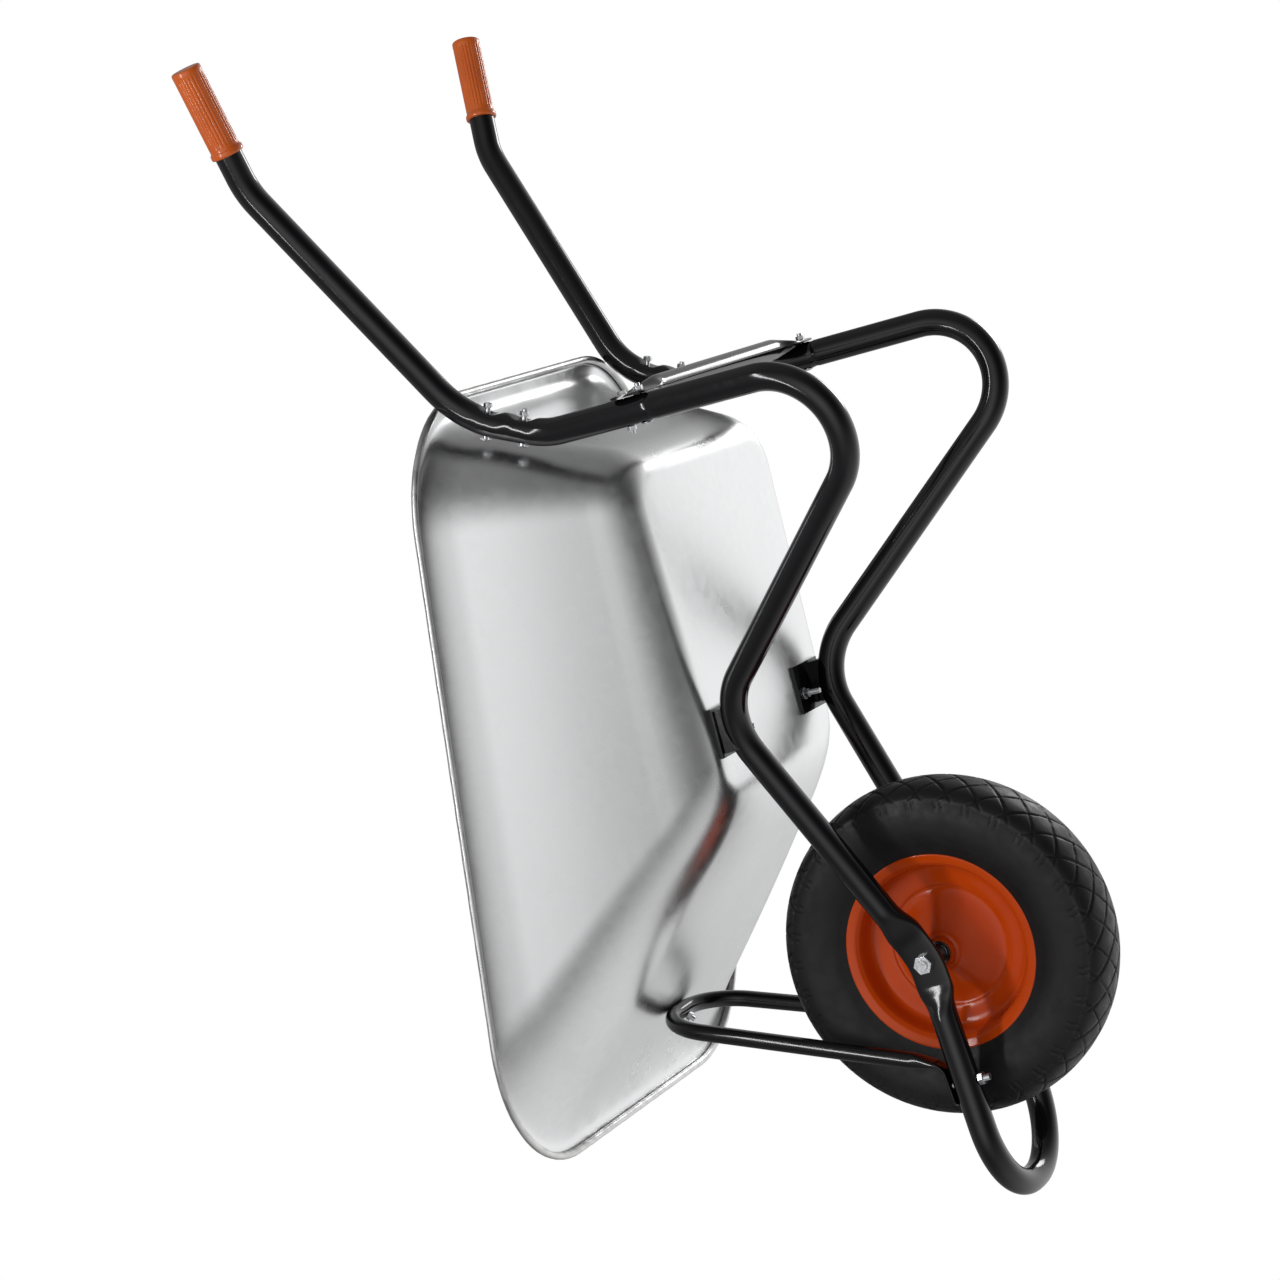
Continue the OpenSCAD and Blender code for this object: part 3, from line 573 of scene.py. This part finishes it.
def outline(rear_x, rear_y, rear_r, front_x, front_y, front_r):
    p = [(rear_x, rear_y), (front_x, front_y), (front_x, -front_y), (rear_x, -rear_y)]
    r = [rear_r, front_r, front_r, rear_r]
    arcs = [corner_arc(p[i - 1], p[i], p[(i + 1) % 4], r[i]) for i in range(4)]
    out = []
    for i in range(4):
        out += arcs[i]
        a, b = arcs[i][-1], arcs[(i + 1) % 4][0]
        n = SIDE_STEPS if i % 2 == 0 else END_STEPS
        out += [a + (b - a) * k / n for k in range(1, n)]
    return np.array(out)


def floor_z(x):
    slope = (floor_front[2] - floor_rear[2]) / (floor_front[0] - floor_rear[0])
    return floor_rear[2] + slope * (x - floor_rear[0])


def floor_ring(inset, up=0.0):
    r = max(floor_r - inset, 12.0)
    p = outline(floor_rear[0] + inset, floor_rear[1] - inset, r,
                floor_front[0] - inset, floor_front[1] - inset, r)
    return np.column_stack([p, floor_z(p[:, 0]) + up])


def rim_ring(rear, front, side, up=0.0):
    p = outline(rim_rear[0] + rear, rim_rear[1] - side, rim_rear[3] - (rear + side) / 2,
                rim_front[0] - front, rim_front[1] - side, rim_front[3] - (front + side) / 2)
    return np.column_stack([p, rim_z(p[:, 0]) + up])


def bezier(a, b, c, t):
    return a * (1 - t) ** 2 + 2 * b * t * (1 - t) + c * t ** 2


def tray():
    low, flat = floor_ring(0), floor_ring(edge_r)
    high = rim_ring(flange_rear, flange_front, flange_side, -1.0)
    reach = 0.84
    wall_a, wall_b = low + (high - low) * edge_share, low + (high - low) * reach
    outward = low - low.mean(axis=0)
    outward = np.column_stack([outward[:, 0] * 0.25, outward[:, 1], 0 * outward[:, 1]])
    outward /= np.linalg.norm(outward, axis=1)[:, None]
    bead_r = bead_d / 2
    edge = rim_ring(bead_r, bead_r, bead_r, -1.0)
    on_flange = high + (edge - high) * 0.55
    rings = [floor_ring(edge_r + 60), floor_ring(edge_r + 25)]
    rings += [bezier(flat, low, wall_a, t) for t in np.linspace(0, 1, 11)]
    rings += [wall_a + (wall_b - wall_a) * t + outward * 3.6 * math.sin(math.pi * t)
              for t in np.linspace(0, 1, 26)[1:-1]]
    rings += [bezier(wall_b, high, on_flange, t) for t in np.linspace(0, 1, 11)]
    rings += [on_flange + (edge - on_flange) * t for t in (0.5, 1.0)]
    rings = np.array(rings)
    # faint waves that the press leaves in the flange and near it
    phase = np.arange(rings.shape[1])
    wave = np.sin(phase * 0.9) * 0.5 + np.sin(phase * 0.47 + 1.3) + np.sin(phase * 1.7 + 0.4) * 0.4
    for k in range(5):
        rings[-1 - k - 1, :, 2] += 0.22 * wave * (1 - abs(k - 2) / 3)
    verts, faces = loft(rings, caps=False)
    n = rings.shape[1]
    faces.append(tuple(range(n - 1, -1, -1)))
    obj = new_mesh("tray_sheet", verts, faces, SHEET, "frame", ["tray"],
                   crease=60)
    solid = obj.modifiers.new("sheet", "SOLIDIFY")
    solid.thickness = 0.001
    solid.offset = 1.0
    path = rim_ring(bead_r, bead_r, bead_r, -bead_r)
    nxt = np.roll(path, -1, axis=0)
    out = np.cross(nxt - np.roll(path, 1, axis=0), [0, 0, 1.0])
    out /= np.linalg.norm(out, axis=1)[:, None]
    a = 2 * math.pi * np.arange(16) / 16
    ripple = 0.12 * np.sin(np.arange(len(path)) * 1.1) + 0.08 * np.sin(np.arange(len(path)) * 2.3)
    c, t = np.cos(a)[:, None], np.sin(a)[:, None]
    rings = np.array([p + (bead_r - 0.1 + w) * (c * o + t * [0, 0, 1.0])
                      for p, o, w in zip(path, out, ripple)])
    verts, faces = loft(rings, rows_closed=True)
    new_mesh("tray_rolled_rim", verts, faces, RIM_BEAD, "frame")


tray()


# ---------------------------------------------------------------- wheel
Y = np.array([0, 1.0, 0])
half_w, tyre_r, seat_r = tyre_w / 2, tyre_d / 2, rim_d / 2 - 14
side_r = (tyre_r + seat_r) / 2 + 6


def tyre():
    half = curve_through([
        [tyre_r, 0], [tyre_r - 0.6, half_w * 0.2], [tyre_r - 2.4, half_w * 0.44],
        [tyre_r - 6.5, half_w * 0.68],
        [tyre_r - 13, half_w * 0.85], [tyre_r - 23, half_w * 0.955], [side_r + 6, half_w],
        [side_r - 12, half_w * 0.975], [side_r - 26, half_w * 0.9], [rim_d / 2 + 4, half_w * 0.8],
        [rim_d / 2 - 2, half_w * 0.74]], 7)
    profile = np.concatenate([half[::-1], half[1:] * [1, -1]])
    arc = lengths_of(profile)
    arc -= arc[len(half) - 1]
    n = 720
    a = 2 * math.pi * np.arange(n) / n
    around = a * tyre_r
    pitch = 2 * math.pi * tyre_r / 32
    normal = np.gradient(profile, axis=0)
    normal = np.column_stack([normal[:, 1], -normal[:, 0]])
    normal /= np.linalg.norm(normal, axis=1)[:, None]
    normal *= np.sign(normal[len(normal) // 2, 0])
    rings = []
    for (r, z), w, nrm in zip(profile, arc, normal):
        depth = np.zeros(n)
        reach = abs(w)
        for way in (1, -1):
            line = (around + way * w * 0.95) % pitch
            d = np.minimum(line, pitch - line)
            depth = np.maximum(depth, 1 - smooth((d - 0.7) / 1.1))
        d = abs((around + w * 0.2) % pitch - pitch / 2)
        notch = (1 - smooth((abs(d - 4.5) - 0.5) / 0.8)) * (1 - smooth((abs(reach - 57) - 5) / 2))
        tread = 1 - smooth((reach - 50) / 2)
        depth = depth * tread * 1.7 + notch * 1.2 + 1.1 * smooth((reach - 51) / 1.5)
        rr, zz = r - depth * nrm[0], z - depth * nrm[1]
        rings.append(np.column_stack([WX + rr * np.cos(a), zz, WZ + rr * np.sin(a)]))
    rings = np.array(rings)
    verts, faces = loft(rings, caps=False)
    new_mesh("tyre_carcass", verts, faces, TYRE, "wheel", ["tyre"], crease=75)


tyre()


def rim_half(name, side):
    lip = rim_w / 2
    # from the lip down the flank and the well, over the flat where the halves meet,
    # and out along the dish
    face = curve_through([
        [rim_d / 2 - 3.5, lip - 5.5], [rim_d / 2, lip - 2.5], [rim_d / 2 - 1.2, lip],
        [rim_d / 2 - 4, lip - 0.3], [rim_d / 2 - 10, lip - 2.2], [seat_r + 1.5, lip - 4.5],
        [seat_r - 1.5, lip - 9], [seat_r - 4.5, 13], [seat_r - 8, 7], [seat_r - 13, 5.0],
        [78, 4.0], [73, 3.2], [70.5, 1.6], [66, 1.6], [58, 5], [44, 13.5], [31, 21.5],
        [24, 26.5], [21, 30], [17.2, 31.5]], 5)
    v, f = turned(face * [1, side], wheel_at, Y, [1, 0, 0.0], n=128)
    obj = new_mesh(name + "_rim_pressing", v, f if side > 0 else [q[::-1] for q in f], ORANGE,
                   "wheel", [name + "_rim_half"], crease=60)
    solid = obj.modifiers.new("sheet", "SOLIDIFY")
    solid.thickness = 0.0016
    solid.offset = -1.0


for name, side in SIDES:
    rim_half(name, side)


# ---------------------------------------------------------------- grips
def grip(name, side):
    start = flip(grip_end, side)
    axis = flip(unit(handle_corner - grip_end), side)
    n = 144
    a = 2 * math.pi * np.arange(n) / n
    flutes, flute_depth = 24, 0.75
    flute = np.abs(np.sin(a * flutes / 2)) ** 0.6
    u = unit(np.cross(axis, [0, 0, 1.0]))
    v = np.cross(axis, u)
    out = np.cos(a)[:, None] * u + np.sin(a)[:, None] * v
    # place along the grip, radius, and share of the flutes' depth
    rows = [(0.0, 12.0, 0), (0.0, 15.2, 0), (0.5, 16.6, 0), (1.6, 17.5, 0), (6, 17.7, 0),
            (8, 17.5, 0.3), (10, 17.6, 1)]
    rows += [(10 + 82 * k / 20, 17.6, 1) for k in range(1, 21)]
    rows += [(94, 17.5, 0.4), (96, 17.4, 0), (98, 17.4, 0), (99, 18.4, 0), (100.4, 19.3, 0),
             (103.5, 19.5, 0), (105.3, 19.1, 0), (106, 18.2, 0), (106, 16.2, 0)]
    rings = np.array([start + axis * s + out * (r - flute_depth * k * (1 - flute))[:, None]
                      for s, r, k in rows])
    verts, faces = loft(rings)
    outward = faces if np.dot(np.cross(u, v), axis) < 0 else [f[::-1] for f in faces]
    new_mesh(name + "_grip_moulded", verts, outward, GRIP, "frame",
             [name + "_grip"], crease=50)


for name, side in SIDES:
    grip(name, side)


# ---------------------------------------------------------------- CAD pieces that stay
def keep(nodes, material, bevel=0.0004):
    for n in nodes:
        obj = frame["nodes"][n]
        obj.data.materials.clear()
        obj.data.materials.append(material)
        weld = obj.modifiers.new("weld", "WELD")
        weld.merge_threshold = 0.00002
        soft = obj.modifiers.new("bevel", "BEVEL")
        soft.width = bevel
        soft.segments = 2
        soft.limit_method = "ANGLE"
        soft.angle_limit = math.radians(35)
        soft.harden_normals = True


keep(["left_tray_bracket", "right_tray_bracket"], BLACK, 0.001)
keep(["axle_bolt", "axle_nut", "rear_wall_bolts", "rear_wall_nuts", "sleeve_bolts", "sleeve_nuts",
      "cross_brace_bolts", "cross_brace_nuts", "bracket_bolts", "bracket_nuts", "bracket_washers",
      "brace_foot_bolts", "brace_foot_nuts", "brace_top_bolt", "brace_top_nut"], ZINC)
keep(["left_axle_spacer", "right_axle_spacer"], DARK)
keep(["left_bearing", "right_bearing"], STEEL)
keep(["hub_tube"], ORANGE)
keep(["inner_tube", "valve_stem", "valve_cap"], INNER)


# ---------------------------------------------------------------- stage, light and camera
# Soft lobes of light: direction, sharpness, strength
LOBES = [
    ((0.0, 0.99, -0.12), 6.0, 1.2),
    ((0.1, -0.93, -0.36), 3.2, 1.25),
    ((0.9, -0.1, -0.4), 3.0, 0.75),
    ((0.0, 0.1, 1.0), 2.0, 0.3),
    ((-0.9, 0.1, 0.1), 3.0, 0.25),
]


def studio():
    half = 9.0
    mesh = bpy.data.meshes.new("floor")
    mesh.from_pydata([(-half, -half, 0), (half, -half, 0), (half, half, 0), (-half, half, 0)], [],
                     [(0, 1, 2, 3)])
    m = Nodes("floor_paper")
    grain = m.noise(3, 4)
    m.put("Base Color", m.colours(grain, (0.3, (0.8,) * 3), (0.7, (0.83,) * 3)))
    m.set(Roughness=0.9)
    behind = m.add("ShaderNodeNewGeometry").outputs["Backfacing"]
    clear = m.add("ShaderNodeBsdfTransparent")
    mix = m.add("ShaderNodeMixShader")
    m.link(behind, mix.inputs[0])
    m.link(m.shader.outputs[0], mix.inputs[1])
    m.link(clear.outputs[0], mix.inputs[2])
    m.link(mix.outputs[0], m.out.inputs[0])
    mesh.materials.append(m.material)
    floor = bpy.data.objects.new("floor", mesh)
    floor.location = (0, 0, -0.0005)
    scene.collection.objects.link(floor)
    floor.visible_shadow = floor.visible_diffuse = floor.visible_glossy = False

    world = bpy.data.worlds.new("studio")
    scene.world = world
    world.use_nodes = True
    tree = world.node_tree
    tree.nodes.clear()
    out = tree.nodes.new("ShaderNodeOutputWorld")
    coord = tree.nodes.new("ShaderNodeTexCoord").outputs["Generated"]

    def maths(operation, *values):
        node = tree.nodes.new("ShaderNodeMath")
        node.operation = operation
        for socket, value in zip(node.inputs, values):
            if isinstance(value, (int, float)):
                socket.default_value = value
            else:
                tree.links.new(value, socket)
        return node.outputs[0]

    total = 0.045  # the dim surround between the lobes
    for direction, power, gain in LOBES:
        dot = tree.nodes.new("ShaderNodeVectorMath")
        dot.operation = "DOT_PRODUCT"
        tree.links.new(coord, dot.inputs[0])
        dot.inputs[1].default_value = unit(direction)
        facing = maths("MAXIMUM", dot.outputs["Value"], 0.0)
        total = maths("ADD", maths("MULTIPLY", maths("POWER", facing, power), gain), total)
    light = tree.nodes.new("ShaderNodeBackground")
    tree.links.new(total, light.inputs["Strength"])
    plain = tree.nodes.new("ShaderNodeBackground")
    for sky in (light, plain):
        sky.inputs["Color"].default_value = (1, 1, 1, 1)
    plain.inputs["Strength"].default_value = 1.0
    mix = tree.nodes.new("ShaderNodeMixShader")
    tree.links.new(tree.nodes.new("ShaderNodeLightPath").outputs["Is Camera Ray"], mix.inputs[0])
    tree.links.new(light.outputs[0], mix.inputs[1])
    tree.links.new(plain.outputs[0], mix.inputs[2])
    tree.links.new(mix.outputs[0], out.inputs[0])


studio()


def softbox(name, place, target, size, power):
    light = bpy.data.lights.new(name, "AREA")
    light.shape = "RECTANGLE"
    light.size, light.size_y = size
    light.energy = power
    obj = bpy.data.objects.new(name, light)
    scene.collection.objects.link(obj)
    obj.location = place
    obj.rotation_mode = "QUATERNION"
    obj.rotation_quaternion = (Vector(target) - Vector(place)).to_track_quat("-Z", "Y")
    obj.visible_camera = False
    return obj


softbox("key_softbox", (-0.8, 2.7, 1.5), (0, 0, 0.3), (2.4, 0.2), 32)
softbox("far_softbox", (-1.0, -3.2, -0.6), (-0.3, 0, 0.25), (0.9, 1.2), 26)

camera_data = bpy.data.cameras.new("camera")
camera_data.sensor_width = 36.0
camera_data.lens = 102.66
camera_data.clip_start, camera_data.clip_end = 0.1, 50
camera = bpy.data.objects.new("camera", camera_data)
scene.collection.objects.link(camera)
RIGHT = Vector((0.326035, -0.420744, -0.846567))
UP = Vector((-0.944099, -0.191103, -0.268619))
AHEAD = Vector((0.048762, -0.886822, 0.459531))
turn = Matrix((RIGHT, UP, -AHEAD)).transposed().to_4x4()
camera.matrix_world = Matrix.Translation((-0.195809, 3.847285, -1.538608)) @ turn
scene.camera = camera
scene.view_settings.view_transform = "Standard"
scene.view_settings.look = "None"
